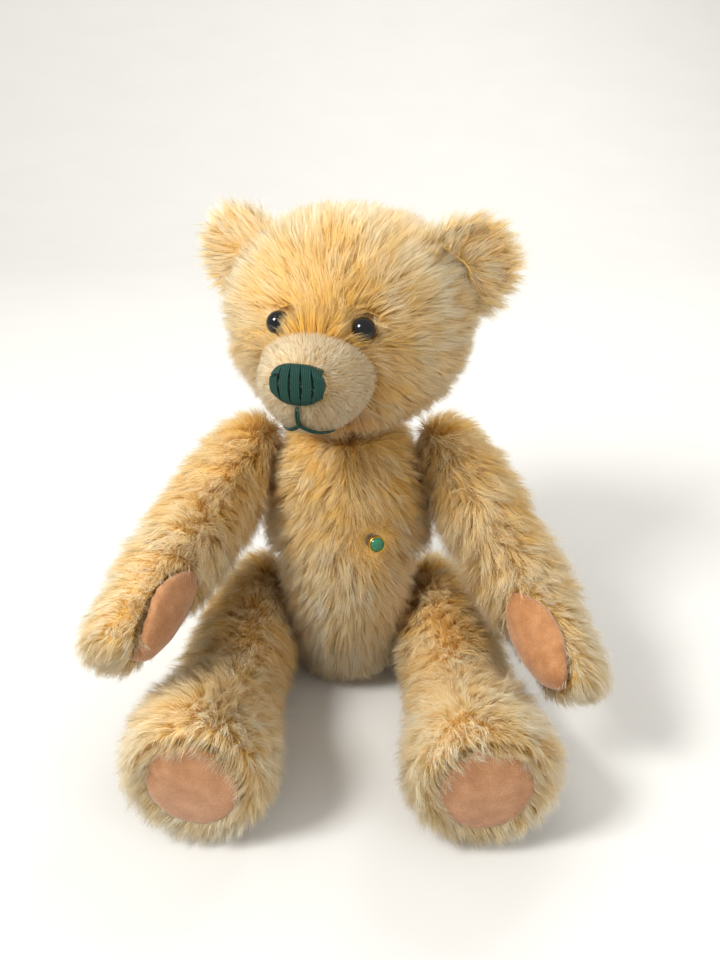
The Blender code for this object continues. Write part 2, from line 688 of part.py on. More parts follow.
def make_leg(side, floor):
    sign = SIDES[side]
    frame = empty(f"{side}_leg_frame", leg_frame(side))
    room = joint_room(f"{side}_hip_room", frame, LEG_DISC_RADIUS, sign)
    flat = limb_flat(f"{side}_leg_flat", sign, frame)
    sole = LEG_SECTIONS[-1]
    matrix = Matrix.Translation((sign * sole[1], -sole[2], -sole[0])) @ rotation(90, "Y")
    wide, tall = FOOT_PAD_HALF
    hole = prism(f"{side}_sole_hole", tall + GAP, wide + GAP, (PLUSH + 0.004, 0.01), matrix, frame)
    outline = prism(f"{side}_sole_outline", tall, wide, (PLUSH + 0.004, 0.01), matrix, frame)
    make_limb(f"{side}_leg", LEG_SECTIONS, sign, frame, room, flat, (hole, outline), floor)
    joint_hardware(f"{side}_hip", frame, LEG_DISC_RADIUS, f"{side}_leg", sign)
    return room, torso_flats(f"{side}_hip_flat", sign, frame, HIP_FLAT_RADIUS)


def limb_centre(sections, down, sign):
    """The middle of a limb at a distance down from its pin."""
    for near, far in zip(sections, sections[1:], strict=False):
        if near[0] <= down <= far[0]:
            t = (down - near[0]) / (far[0] - near[0])
            out, forward = (near[k] + (far[k] - near[k]) * t for k in (1, 2))
            return Vector((sign * out, -forward, -down))
    raise ValueError("the pad's centre is past the end of the limb")


def main():
    for old in list(bpy.data.objects):
        bpy.data.objects.remove(old)
    ground = empty("ground_frame", Matrix.Identity(4))
    floor = block("floor_cutter", (-0.3, -0.4, -0.1), (0.3, 0.3, 0.0), ground)
    neck = empty("neck_frame", neck_frame())
    neck_room = joint_room("neck_room", neck, NECK_DISC_RADIUS, 1)
    joint_hardware("neck", neck, NECK_DISC_RADIUS, "head", 1)
    head_flat = block("head_flat", (-0.05, -0.1, -0.1), (GAP, 0.1, 0.1), neck)
    make_head(neck, neck_room, head_flat)
    rooms, flats = [neck_room], [torso_flats("neck_flat", 1, neck, NECK_FLAT_RADIUS)]
    for side in SIDES:
        for room, flat in (make_arm(side), make_leg(side, floor)):
            rooms.append(room)
            flats.append(flat)
    make_torso(rooms, flats)


main()
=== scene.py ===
"""The looks of a jointed mohair teddy bear: pile, suede pads, stitched face, glass eyes and stud, on a stage."""

import json
import math

import bmesh
import bpy
import numpy as np
from mathutils import Matrix, Vector
from mathutils.bvhtree import BVHTree
from mathutils.kdtree import KDTree

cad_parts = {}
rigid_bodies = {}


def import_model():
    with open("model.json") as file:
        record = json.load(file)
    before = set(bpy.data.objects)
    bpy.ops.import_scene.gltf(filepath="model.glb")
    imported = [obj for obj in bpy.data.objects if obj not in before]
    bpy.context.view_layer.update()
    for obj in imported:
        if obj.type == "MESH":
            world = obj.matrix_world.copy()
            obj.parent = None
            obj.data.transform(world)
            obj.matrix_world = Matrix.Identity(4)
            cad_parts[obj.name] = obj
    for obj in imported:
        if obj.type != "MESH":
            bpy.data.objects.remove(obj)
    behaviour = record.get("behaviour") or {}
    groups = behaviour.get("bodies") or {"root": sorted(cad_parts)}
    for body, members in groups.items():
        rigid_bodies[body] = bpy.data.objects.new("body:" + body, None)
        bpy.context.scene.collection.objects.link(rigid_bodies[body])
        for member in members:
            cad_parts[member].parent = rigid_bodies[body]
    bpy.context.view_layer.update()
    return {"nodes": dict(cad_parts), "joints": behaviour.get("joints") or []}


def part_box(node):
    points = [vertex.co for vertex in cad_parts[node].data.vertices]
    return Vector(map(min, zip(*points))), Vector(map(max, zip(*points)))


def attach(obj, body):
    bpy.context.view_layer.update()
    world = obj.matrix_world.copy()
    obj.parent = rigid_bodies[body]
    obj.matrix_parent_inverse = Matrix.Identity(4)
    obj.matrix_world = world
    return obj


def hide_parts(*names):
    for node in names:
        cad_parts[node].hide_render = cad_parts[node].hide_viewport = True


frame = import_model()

bl_info = {
    "name": "Jointed teddy bear",
    "version": (1, 0, 0),
    "blender": (4, 5, 0),
    "location": "3D View > Sidebar > Bear",
    "description": "Makes the plush, pads, face, eyes and stud of a jointed teddy bear over its solid frame",
    "category": "Object",
}

NODES = frame["nodes"]
MM = 0.001
SIDES = ("left", "right")
PLUSH_BODIES = ("head", "torso", "left_arm", "right_arm", "left_leg", "right_leg")

# The pile is drawn coarser than the real fibre, which is about 0.04 mm, because too few of those would fit to
# cover the cloth.
STRAND_SEGMENTS = (0.0, 0.3, 0.65, 1.0)
STRANDS_PER_PIECE = 36000  # five triangles each
TONES = 16  # columns of the tone palette

PILE_BY_EYE = 10.0 * MM  # the pile is trimmed to these lengths round the eyes, the stud and the pads
PILE_BY_STUD = 3.5 * MM
PILE_BY_PAD = 10.0 * MM
LIMB_PILE = 1.25  # pile on the limbs and the ears, as shares of the body's
EAR_PILE = 0.95
EAR_SEWN_IN = 8 * MM  # how far an ear's root goes down into the head's pile
PAD_PROUD = 0.9 * MM  # how far the edge of a pad stands out of its recess, and its middle past its edge
PAD_CROWN = 2.0 * MM
PAD_OVERLAP = 0.05  # how much wider a pad is than its recess
MOUTH_FORK_RISE = 4.6 * MM  # height of the mouth's fork above the upright's lower end
MOUTH_DROP = 4.6 * MM  # how far the mouth's corners hang below its fork


# --- Sizes and colours that a user may change ------------------------------------------------------------------


def colour(name, value, description):
    return bpy.props.StringProperty(name=name, default=value, description=description + ", as sRGB hex")


def length(name, millimetres, description):
    return bpy.props.FloatProperty(
        name=name,
        default=millimetres * MM,
        min=0.0,
        description=description,
        unit="LENGTH",
        subtype="DISTANCE",
        precision=5,
    )


class PlushSettings(bpy.types.PropertyGroup):
    pile: length("Pile length", 15.0, "Length of the mohair on the body")
    clipped: length("Clipped pile", 4.2, "Length of the clipped mohair on the muzzle")
    backing_depth: length("Backing depth", 8.0, "How far the cloth lies under the ends of the pile")
    strand_width: length("Strand width", 0.29, "Width of a lock of pile at its root")
    per_cm2: bpy.props.FloatProperty(
        name="Strands per square centimetre", default=290.0, min=1.0, description="How thickly the pile grows"
    )
    root: colour("Root", "#FFCF5E", "Dyed pile deep between the locks")
    middle: colour("Middle", "#FFEAAA", "Pile half way up")
    tip: colour("Tip", "#FFFDF2", "Bleached ends of the pile")
    backing: colour("Backing", "#EDC06C", "Woven cotton cloth under the pile")
    muzzle_root: colour("Muzzle root", "#F3D79C", "Clipped pile at its root")
    muzzle_tip: colour("Muzzle tip", "#FFF9E4", "Clipped pile at its cut end")


class FaceSettings(bpy.types.PropertyGroup):
    thread: colour("Thread", "#04362A", "Pearl cotton of the nose and mouth")
    thread_width: length("Thread width", 1.25, "Thickness of the embroidery thread")
    nose_bunches: bpy.props.IntProperty(
        name="Bunches of stitches", default=5, min=1, description="Satin stitches pull together into these"
    )
    stitches_per_bunch: bpy.props.IntProperty(
        name="Stitches in a bunch", default=5, min=1, description="Stitches side by side in each bunch"
    )
    glass: colour("Glass", "#050506", "Black glass of the eyes")


class TrimSettings(bpy.types.PropertyGroup):
    suede: colour("Suede", "#98683F", "Pinkish tan pads of the paws and feet")
    suede_worn: colour("Worn suede", "#AC7C55", "The pads where the nap is brushed the other way")
    enamel: colour("Enamel", "#14553A", "Green enamel of the chest stud")
    gilt: colour("Gilt", "#D9B25A", "Gilt rim of the chest stud")


class StageSettings(bpy.types.PropertyGroup):
    floor: colour("Floor", "#C3C1BC", "Pale matte floor")
    lens: bpy.props.FloatProperty(
        name="Lens", default=23.4, min=1.0, description="Focal length of the camera, in mm on a 24 mm side"
    )


# --- Materials -------------------------------------------------------------------------------------------------


def linear(hex_colour):
    """An sRGB hex colour as the linear RGBA that shaders take."""
    parts = [int(hex_colour[k : k + 2], 16) / 255 for k in (1, 3, 5)]
    return (*[c / 12.92 if c <= 0.04045 else ((c + 0.055) / 1.055) ** 2.4 for c in parts], 1.0)


def add_node(tree, kind, settings=None, **inputs):
    """Adds a node, sets its settings and its inputs, and links an input where it is given a socket."""
    made = tree.nodes.new(kind)
    for key, value in (settings or {}).items():
        setattr(made, key, value)
    for key, value in inputs.items():
        numbered = key[0] == "i" and key[1:].isdigit()
        socket = made.inputs[int(key[1:]) if numbered else key.replace("_", " ")]
        if isinstance(value, bpy.types.NodeSocket):
            tree.links.new(value, socket)
        else:
            socket.default_value = value
    return made


def new_material(name, roughness, metallic=0.0, **more):
    """A material with a Principled shader. Returns it with its tree and shader."""
    made = bpy.data.materials.new(name)
    made.use_nodes = True
    shader = made.node_tree.nodes["Principled BSDF"]
    shader.inputs["Roughness"].default_value = roughness
    shader.inputs["Metallic"].default_value = metallic
    for key, value in more.items():
        shader.inputs[key.replace("_", " ")].default_value = value
    return made, made.node_tree, shader


def ramp(tree, stops, factor):
    made = add_node(tree, "ShaderNodeValToRGB", None, i0=factor)
    elements = made.color_ramp.elements
    while len(elements) < len(stops):
        elements.new(0.5)
    for element, (place, hex_colour) in zip(elements, stops, strict=True):
        element.position = place
        element.color = linear(hex_colour)
    return made.outputs["Color"]


def blend_hex(a, b, share):
    """A hex colour part of the way from a to b."""
    mixed = [round(int(a[k : k + 2], 16) * (1 - share) + int(b[k : k + 2], 16) * share) for k in (1, 3, 5)]
    return "#" + "".join(f"{max(0, min(255, c)):02X}" for c in mixed)


def mohair_material(name, root, middle, tip):
    """Mohair, dyed and tip-bleached: silky fibre, so a soft sheen and a broad highlight. The palette runs from
    deep gold at u = 0 to pale at u = 1, which carries the locks' own tones and also painted shade and painted
    light set by place, and from root to tip along v."""
    made, tree, shader = new_material(
        name, 0.45, Sheen_Weight=0.25, Sheen_Roughness=0.4, Specular_IOR_Level=0.4
    )
    place = add_node(tree, "ShaderNodeUVMap", {"uv_map": "OFBake"}).outputs["UV"]
    split = add_node(tree, "ShaderNodeSeparateXYZ", None, Vector=place)
    deep = ramp(
        tree,
        (
            (0.0, blend_hex(root, "#E08A28", 0.3)),
            (0.35, root),
            (0.75, blend_hex(root, middle, 0.2)),
            (1.0, blend_hex(root, middle, 0.55)),
        ),
        split.outputs["Y"],
    )
    pale = ramp(
        tree,
        (
            (0.0, root),
            (0.3, middle),
            (0.62, blend_hex(middle, tip, 0.6)),
            (1.0, blend_hex(tip, "#FFFFFF", 0.25)),
        ),
        split.outputs["Y"],
    )
    mix = add_node(tree, "ShaderNodeMix", {"data_type": "RGBA"}, i0=split.outputs["X"], i6=deep, i7=pale)
    tree.links.new(mix.outputs[2], shader.inputs["Base Color"])
    # Light passes through a lock of fine fibre as much as it is turned back.
    through = add_node(tree, "ShaderNodeBsdfTranslucent", None, Color=mix.outputs[2])
    both = add_node(
        tree, "ShaderNodeMixShader", None, i0=0.5, i1=shader.outputs["BSDF"], i2=through.outputs["BSDF"]
    )
    tree.links.new(both.outputs["Shader"], tree.nodes["Material Output"].inputs["Surface"])
    return made


def backing_material(name, hex_colour):
    """Woven cotton backing: a plain weave of 0.6 mm threads, dull, dyed with the pile."""
    made, tree, shader = new_material(name, 0.95)
    place = add_node(tree, "ShaderNodeTexCoord").outputs["Object"]
    weave = add_node(tree, "ShaderNodeTexVoronoi", None, Vector=place, Scale=1 / (0.6 * MM))
    tint = add_node(
        tree,
        "ShaderNodeMix",
        {"data_type": "RGBA"},
        i0=weave.outputs["Distance"],
        i6=linear(hex_colour),
        i7=linear(blend_hex(hex_colour, "#000000", 0.35)),
    )
    tree.links.new(tint.outputs[2], shader.inputs["Base Color"])
    bump = add_node(
        tree, "ShaderNodeBump", None, Height=weave.outputs["Distance"], Strength=0.4, Distance=0.2 * MM
    )
    tree.links.new(bump.outputs["Normal"], shader.inputs["Normal"])
    return made


def suede_material(hex_colour, worn):
    """Ultrasuede: knitted microfibre, brushed, so its nap lies in light and dark patches, with no shine."""
    made, tree, shader = new_material(
        "suede, brushed microfibre", 0.9, Sheen_Weight=0.35, Sheen_Roughness=0.5, Specular_IOR_Level=0.2
    )
    place = add_node(tree, "ShaderNodeTexCoord").outputs["Object"]
    patches = add_node(
        tree, "ShaderNodeTexNoise", None, Vector=place, Scale=1 / (9 * MM), Detail=4.0, Roughness=0.6
    )
    fibre = add_node(tree, "ShaderNodeTexNoise", None, Vector=place, Scale=1 / (0.7 * MM), Detail=3.0)
    shares = add_node(
        tree,
        "ShaderNodeMath",
        {"operation": "MULTIPLY_ADD"},
        i0=fibre.outputs["Fac"],
        i1=0.55,
        i2=add_node(
            tree, "ShaderNodeMath", {"operation": "MULTIPLY"}, i0=patches.outputs["Fac"], i1=0.75
        ).outputs[0],
    )
    tint = ramp(
        tree,
        ((0.40, blend_hex(hex_colour, "#5A2E1A", 0.3)), (0.62, hex_colour), (0.86, worn)),
        shares.outputs[0],
    )
    tree.links.new(tint, shader.inputs["Base Color"])
    bump = add_node(tree, "ShaderNodeBump", None, Height=fibre.outputs["Fac"], Strength=0.6, Distance=0.25 * MM)
    tree.links.new(bump.outputs["Normal"], shader.inputs["Normal"])
    return made


def thread_material(hex_colour):
    """Pearl cotton: two plies twisted together and gassed smooth, so a silky line runs along each ply. The
    colour paints that line as a painted highlight on each ply and painted shade in the grooves between the
    plies.
    """
    made, tree, shader = new_material("pearl cotton, twisted", 0.5, Sheen_Weight=0.02, Specular_IOR_Level=0.25)
    place = add_node(tree, "ShaderNodeUVMap", {"uv_map": "UVMap"}).outputs["UV"]
    twist = add_node(
        tree,
        "ShaderNodeTexWave",
        {"bands_direction": "DIAGONAL"},
        Vector=place,
        Scale=1.0,
        Distortion=0.4,
    )
    # Painted shade in the grooves between the plies, and a painted highlight along each ply.
    tint = ramp(
        tree,
        (
            (0.15, blend_hex(hex_colour, "#041210", 0.6)),
            (0.6, hex_colour),
            (1.0, blend_hex(hex_colour, "#FFFFFF", 0.10)),
        ),
        twist.outputs["Fac"],
    )
    tree.links.new(tint, shader.inputs["Base Color"])
    bump = add_node(tree, "ShaderNodeBump", None, Height=twist.outputs["Fac"], Strength=0.5, Distance=0.2 * MM)
    tree.links.new(bump.outputs["Normal"], shader.inputs["Normal"])
    return made


def speckled_material(name, dark, light, grain_mm, roughness, metallic=0.0, bump_mm=0.05, **more):
    """A surface whose colour and height vary with one fine grain, such as pressed board or plated wire."""
    made, tree, shader = new_material(name, roughness, metallic, **more)
    place = add_node(tree, "ShaderNodeTexCoord").outputs["Object"]
    grain = add_node(tree, "ShaderNodeTexNoise", None, Vector=place, Scale=1 / (grain_mm * MM), Detail=3.0)
    tint = ramp(tree, ((0.3, dark), (0.7, light)), grain.outputs["Fac"])
    tree.links.new(tint, shader.inputs["Base Color"])
    bump = add_node(
        tree, "ShaderNodeBump", None, Height=grain.outputs["Fac"], Strength=0.5, Distance=bump_mm * MM
    )
    tree.links.new(bump.outputs["Normal"], shader.inputs["Normal"])
    return made


# --- Meshes ----------------------------------------------------------------------------------------------------


def link(made):
    bpy.context.scene.collection.objects.link(made)
    return made


def mesh_piece(name, points, faces, material, smooth=True):
    mesh = bpy.data.meshes.new(name)
    mesh.from_pydata([tuple(p) for p in points], [], [tuple(f) for f in faces])
    fix = bmesh.new()
    fix.from_mesh(mesh)
    bmesh.ops.recalc_face_normals(fix, faces=fix.faces)
    fix.to_mesh(mesh)
    fix.free()
    mesh.materials.append(material)
    if smooth:
        mesh.shade_smooth()
    return link(bpy.data.objects.new(name, mesh))


def arrays(mesh):
    """A mesh's points, triangles and point normals as arrays."""
    mesh.calc_loop_triangles()
    points = np.empty(len(mesh.vertices) * 3)
    mesh.vertices.foreach_get("co", points)
    triangles = np.empty(len(mesh.loop_triangles) * 3, dtype=np.int64)
    mesh.loop_triangles.foreach_get("vertices", triangles)
    normals = np.empty(len(mesh.vertices) * 3)
    mesh.vertex_normals.foreach_get("vector", normals)
    return points.reshape(-1, 3), triangles.reshape(-1, 3), normals.reshape(-1, 3)


def unit(vectors):
    return vectors / np.maximum(np.linalg.norm(vectors, axis=-1, keepdims=True), 1e-12)


def welded(mesh):
    """The arrays of a mesh after corners at one place are made one, so that its normals are smooth."""
    work = bmesh.new()
    work.from_mesh(mesh)
    bmesh.ops.remove_doubles(work, verts=work.verts, dist=0.001 * MM)
    whole = bpy.data.meshes.new("welded")
    work.to_mesh(whole)
    work.free()
    return arrays(whole)


def joined(parts):
    """One mesh of several CAD nodes, each swollen by its own amount in metres."""
    points, faces, start = [], [], 0
    for node, swell in parts:
        p, t, n = welded(NODES[node].data)
        points.append(p + n * swell)
        faces.append(t + start)
        start += len(p)
    mesh = bpy.data.meshes.new("joined")
    mesh.from_pydata(np.vstack(points).tolist(), [], np.vstack(faces).tolist())
    return mesh


def evaluated(made):
    """The object's mesh with its modifiers applied, in place of its old mesh."""
    graph = bpy.context.evaluated_depsgraph_get()
    done = bpy.data.meshes.new_from_object(made.evaluated_get(graph))
    made.modifiers.clear()
    made.data = done
    return made


def largest_part(mesh):
    """Removes all of a mesh but its largest connected part."""
    work = bmesh.new()
    work.from_mesh(mesh)
    seen, best = set(), []
    for first in work.verts:
        if first in seen:
            continue
        seen.add(first)
        group, queue = [first], [first]
        while queue:
            vertex = queue.pop()
            for edge in vertex.link_edges:
                other = edge.other_vert(vertex)
                if other not in seen:
                    seen.add(other)
                    group.append(other)
                    queue.append(other)
        if len(group) > len(best):
            best = group
    keep = set(best)
    bmesh.ops.delete(work, geom=[v for v in work.verts if v not in keep], context="VERTS")
    work.to_mesh(mesh)
    work.free()


def cloth_shell(name, parts, voxel_mm, depth, material, rounds=6):
    """The sewn cloth of one stuffed part: the frame's solids made one, smoothed, and drawn in by depth."""
    made = link(bpy.data.objects.new(name, joined(parts)))
    remesh = made.modifiers.new("cloth", "REMESH")
    remesh.mode = "VOXEL"
    remesh.voxel_size = voxel_mm * MM
    soften = made.modifiers.new("soften", "SMOOTH")
    soften.factor, soften.iterations = 0.6, rounds
    evaluated(made)
    largest_part(made.data)
    points, _, normals = arrays(made.data)
    made.data.vertices.foreach_set("co", (points - normals * depth).ravel())
    made.data.update()
    made.data.materials.clear()
    made.data.materials.append(material)
    made.data.shade_smooth()
    return made


def tube(path, radius, sides=8, taper=0.0):
    """Points, faces and (along, round) UVs of a round thread along a path. UVs count in thread widths."""
    path = np.array(path, dtype=float)
    ahead = unit(np.gradient(path, axis=0))
    side = unit(np.cross(ahead, [0.31, 0.2, 0.93]))
    up = np.cross(side, ahead)
    travelled = np.concatenate([[0.0], np.cumsum(np.linalg.norm(np.diff(path, axis=0), axis=1))])
    points, uvs, faces = [], [], []
    for i, centre in enumerate(path):
        share = i / (len(path) - 1)
        width = radius * (1 - taper * abs(2 * share - 1) ** 6)
        for k in range(sides):
            angle = 2 * math.pi * k / sides
            points.append(centre + width * (math.cos(angle) * side[i] + math.sin(angle) * up[i]))
            uvs.append((travelled[i] / (2 * radius), k / sides))
    for i in range(len(path) - 1):
        for k in range(sides):
            a, b = i * sides + k, i * sides + (k + 1) % sides
            faces.append((a, b, b + sides, a + sides))
    faces.append(tuple(range(sides))[::-1])
    faces.append(tuple(range((len(path) - 1) * sides, len(path) * sides)))
    return points, faces, uvs


def thread_piece(name, strands, material):
    """One piece made of several threads, each a (path, radius)."""
    points, faces, uvs = [], [], []
    for path, radius in strands:
        p, f, uv = tube(path, radius, taper=0.35)
        faces += [tuple(k + len(points) for k in face) for face in f]
        points += p
        uvs += uv
    made = mesh_piece(name, points, faces, material)
    layer = made.data.uv_layers.new(name="UVMap")
    corner = np.empty(len(made.data.loops), dtype=np.int64)
    made.data.loops.foreach_get("vertex_index", corner)
    layer.data.foreach_set("uv", np.array(uvs, dtype=np.float32)[corner].ravel())
    return made


def turned_piece(name, profile, place, material, segments=40):
    """A closed form turned about the place's X axis from (x, radius) points, whose ends have no radius."""
    points, faces = [], []
    for x, radius in profile:
        for k in range(segments):
            angle = 2 * math.pi * k / segments
            spot = Vector((x, radius * math.cos(angle), radius * math.sin(angle)))
            points.append(tuple(place @ spot))
    for i in range(len(profile) - 1):
        for k in range(segments):
            a, b = i * segments + k, i * segments + (k + 1) % segments
            faces.append((a, b, b + segments, a + segments))
    faces.append(tuple(range(segments)))
    faces.append(tuple(range((len(profile) - 1) * segments, len(profile) * segments)))
    return mesh_piece(name, points, faces, material)


# --- Places on the bear ----------------------------------------------------------------------------------------


def centre(node):
    low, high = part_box(node)
    return (Vector(low) + Vector(high)) / 2


def facing_place(middle, out):
    """A matrix that sets a turned piece at middle, with its X axis along out."""
    return Matrix.Translation(Vector(middle)) @ Vector(out).to_track_quat("X", "Z").to_matrix().to_4x4()


def spread_axes(node):
    """A node's middle, and its directions of most, middle and least spread."""
    points, _, _ = arrays(NODES[node].data)
    middle = (points.min(0) + points.max(0)) / 2
    _, _, rows = np.linalg.svd(points - points.mean(0), full_matrices=False)
    return middle, rows


def head_axes():
    """The nose's middle, and the head's left, forward and up."""
    middle, rows = spread_axes("nose_stitching")
    left = rows[0] * np.sign(rows[0][0])
    up = rows[1] * np.sign(rows[1][2])
    forward = np.cross(left, up) * -1
    forward *= np.sign(-forward[1])
    return middle, left, forward, up


def limb_line(body):
    """Where a limb starts, at its joint, and the direction that it points in."""
    joint = next(j for j in frame["joints"] if j["child"] == body)
    start = np.array(joint["pos_m"], dtype=float)
    points, _, _ = arrays(NODES[f"{body}_skin"].data)
    far = points[np.argsort(np.linalg.norm(points - start, axis=1))[-60:]].mean(0)
    return start, unit(far - start)


def pad_facing(body):
    """The middle of a limb's pad, and the way that it faces, away from the stuffing behind it."""
    middle, rows = spread_axes(f"{body}_pad")
    _, ahead = limb_line(body)
    points, _, _ = arrays(NODES[f"{body}_stuffing"].data)
    if body.endswith("leg"):
        return middle, rows[2] * np.sign(rows[2] @ ahead)
    slice_middle = points[np.abs((points - middle) @ ahead) < 10 * MM].mean(0)
    away = middle - slice_middle
    return middle, unit(away - (away @ ahead) * ahead)


# --- Pile ------------------------------------------------------------------------------------------------------


def smooth_step(value, low, high):
    t = np.clip((value - low) / (high - low), 0, 1)
    return t * t * (3 - 2 * t)


def scatter(mesh, per_cm2, rng):
    """Even random roots on a mesh, with the cloth's normal at each."""
    points, triangles, normals = arrays(mesh)
    a, b, c = (points[triangles[:, k]] for k in range(3))
    area = np.linalg.norm(np.cross(b - a, c - a), axis=1) / 2
    count = int(area.sum() * 1e4 * per_cm2)
    chosen = np.searchsorted(np.cumsum(area), rng.random(count) * area.sum())
    chosen = np.minimum(chosen, len(triangles) - 1)
    u, v = np.sqrt(rng.random(count)), rng.random(count)
    weights = np.stack([1 - u, u * (1 - v), u * v], axis=1)
    corners = triangles[chosen]
    roots = (points[corners] * weights[:, :, None]).sum(1)
    return roots, unit((normals[corners] * weights[:, :, None]).sum(1))


def lock_of(roots, every, rng):
    """For each root, the index of the lock it belongs to, and the indices of the locks' own middle roots."""
    leaders = rng.choice(len(roots), max(1, len(roots) // every), replace=False)
    tree = KDTree(len(leaders))
    for k, index in enumerate(leaders):
        tree.insert(roots[index], k)
    tree.balance()
    return np.array([tree.find(root)[1] for root in roots]), leaders


def near_joint(roots, body, reach=0.027, depth=0.006):
    """Which roots lie on a face pressed against the next part at a joint."""
    pressed = np.zeros(len(roots), dtype=bool)
    for joint in frame["joints"]:
        if body not in (joint["parent"], joint["child"]):
            continue
        away = roots - np.array(joint["pos_m"])
        axis = unit(np.array(joint["axis"], dtype=float))
        along = away @ axis
        pressed |= (np.abs(along) < depth) & (np.linalg.norm(away - along[:, None] * axis, axis=1) < reach)
    return pressed


def cleared_of(roots, nodes, gap):
    """Which roots are at least gap away from every one of these nodes."""
    free = np.ones(len(roots), dtype=bool)
    for node in nodes:
        points, triangles, _ = arrays(NODES[node].data)
        tree = BVHTree.FromPolygons(points.tolist(), triangles.tolist())
        low, high = points.min(0) - gap, points.max(0) + gap
        for k in np.flatnonzero(((roots > low) & (roots < high)).all(1)):
            if tree.find_nearest(Vector(roots[k]), gap)[0] is not None:
                free[k] = False
    return free


def grow(name, body, cloth, groom, per_cm2, width, material, seed, skip=(), lock_size=20, gather=0.26):
    """Grows pile on a cloth shell. groom(roots, normals) gives each strand's length, its comb direction, how
    far it leans over (0 upright, 1 lying down), and its tone (0 deep, 1 pale)."""
    rng = np.random.default_rng(seed)
    roots, normals = scatter(cloth.data, per_cm2, rng)
    keep = ~near_joint(roots, body)
    for nodes, gap in skip:
        keep &= cleared_of(roots, nodes, gap)
    roots, normals = roots[keep], normals[keep]
    lengths, comb, lean, tone = groom(roots, normals)
    alive = lengths > 0.5 * MM
    roots, normals, lengths, comb, lean, tone = (
        field[alive] for field in (roots, normals, lengths, comb, lean, tone)
    )
    count = len(roots)
    comb = comb - (comb * normals).sum(1, keepdims=True) * normals
    lock, leaders = lock_of(roots, lock_size, rng)
    streak, streaks = lock_of(roots, lock_size * 14, rng)
    wild = rng.normal(size=(len(leaders), 3))[lock] * 0.17 + rng.normal(size=(count, 3)) * 0.13
    wild += rng.normal(size=(len(streaks), 3))[streak] * 0.16
    heading = unit(normals * (1 - lean[:, None]) + unit(comb) * lean[:, None] + wild * 0.55)
    lengths = lengths * (0.86 + 0.22 * rng.random(len(leaders))[lock]) * (0.82 + 0.25 * rng.random(count))
    tips = roots + heading * lengths[:, None]
    lead_tips = tips[leaders][lock]
    spread = (roots - roots[leaders][lock]) * 0.35
    tips = tips * (1 - gather) + (lead_tips + spread) * gather
    elbow = roots + normals * (lengths * (0.52 - 0.25 * lean))[:, None]
    side = unit(np.cross(heading, unit(normals + rng.normal(size=(count, 3)) * 0.9)))
    wave = unit(np.cross(heading, side)) * 0.035 * lengths[:, None]
    phase = rng.random(count) * 2 * math.pi
    rows = []
    for t in STRAND_SEGMENTS:
        place = roots * (1 - t) ** 2 + elbow * (2 * t * (1 - t)) + tips * t**2
        place = place + wave * (np.sin(phase + t * 5.0) * t)[:, None]
        place[:, 2] = np.maximum(place[:, 2], 0.4 * MM)
        rows.append((t, place))
    for share, noise in ((0.42, rng.random(len(streaks))[streak]), (0.28, rng.random(len(leaders))[lock])):
        tone = tone + share * (noise - 0.5)
    tone = np.clip(tone + 0.22 * (rng.random(count) - 0.5), 0, 1)
    column = (np.minimum((tone * TONES).astype(int), TONES - 1) + 0.5) / TONES
    made = []
    for number, first in enumerate(range(0, count, STRANDS_PER_PIECE)):
        part = slice(first, min(first + STRANDS_PER_PIECE, count))
        widths = width * np.sqrt(np.clip(lengths[part] / (12 * MM), 0.25, 1.0))
        made.append(
            pile_piece(
                f"{name}_{number + 1}",
                [(t, place[part]) for t, place in rows],
                side[part],
                widths,
                unit(normals[part] * 0.75 + heading[part] * 0.35),
                column[part],
                material,
            )
        )
        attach(made[-1], body)
    return made


def pile_piece(name, rows, side, widths, facing, column, material):
    """Strands as one mesh of tapered ribbons. facing gives the shading normals, so that locks shade as one."""
    count = len(side)
    per = 2 * len(rows) - 1
    points = np.empty((count, per, 3))
    uvs = np.empty((count, per, 2))
    for k, (t, place) in enumerate(rows):
        if k == len(rows) - 1:
            points[:, 2 * k] = place
            uvs[:, 2 * k] = np.stack([column, np.full(count, 0.985)], axis=1)
        else:
            half = (widths * (1 - t) ** 0.6 * 0.5)[:, None] * side
            for j, sign in enumerate((-1, 1)):
                points[:, 2 * k + j] = place + sign * half
                along = np.full(count, 0.015 + 0.97 * t)
                uvs[:, 2 * k + j] = np.stack([column + sign * 0.3 / TONES, along], axis=1)
    quads = [(2 * k, 2 * k + 1, 2 * k + 3, 2 * k + 2) for k in range(len(rows) - 2)]
    triangles = [(a, b, c) for a, b, c, _ in quads] + [(a, c, d) for a, _, c, d in quads]
    triangles.append((per - 3, per - 2, per - 1))
    base = (np.arange(count) * per)[:, None, None]
    faces = (np.array(triangles)[None] + base).reshape(-1, 3)
    mesh = bpy.data.meshes.new(name)
    mesh.vertices.add(count * per)
    mesh.vertices.foreach_set("co", points.ravel())
    mesh.loops.add(faces.size)
    mesh.loops.foreach_set("vertex_index", faces.ravel().astype(np.int32))
    mesh.polygons.add(len(faces))
    mesh.polygons.foreach_set("loop_start", np.arange(0, faces.size, 3, dtype=np.int32))
    mesh.update(calc_edges=True)
    layer = mesh.uv_layers.new(name="OFBake")
    layer.data.foreach_set("uv", uvs.reshape(-1, 2)[faces.ravel()].ravel().astype(np.float32))
    mesh.materials.append(material)
    mesh.shade_smooth()
    mesh.normals_split_custom_set_from_vertices(np.repeat(facing, per, axis=0).tolist())
    return link(bpy.data.objects.new(name, mesh))


# --- Operators -------------------------------------------------------------------------------------------------


def shared(name, make):
    """A material by name, made the first time that it is needed."""
    return bpy.data.materials.get(name) or make()


def body_mohair(settings):
    name = "mohair, dyed gold and tip-bleached"
    return shared(name, lambda: mohair_material(name, settings.root, settings.middle, settings.tip))


def cloth_of(settings):
    name = "cotton backing, woven"
    return shared(name, lambda: backing_material(name, settings.backing))


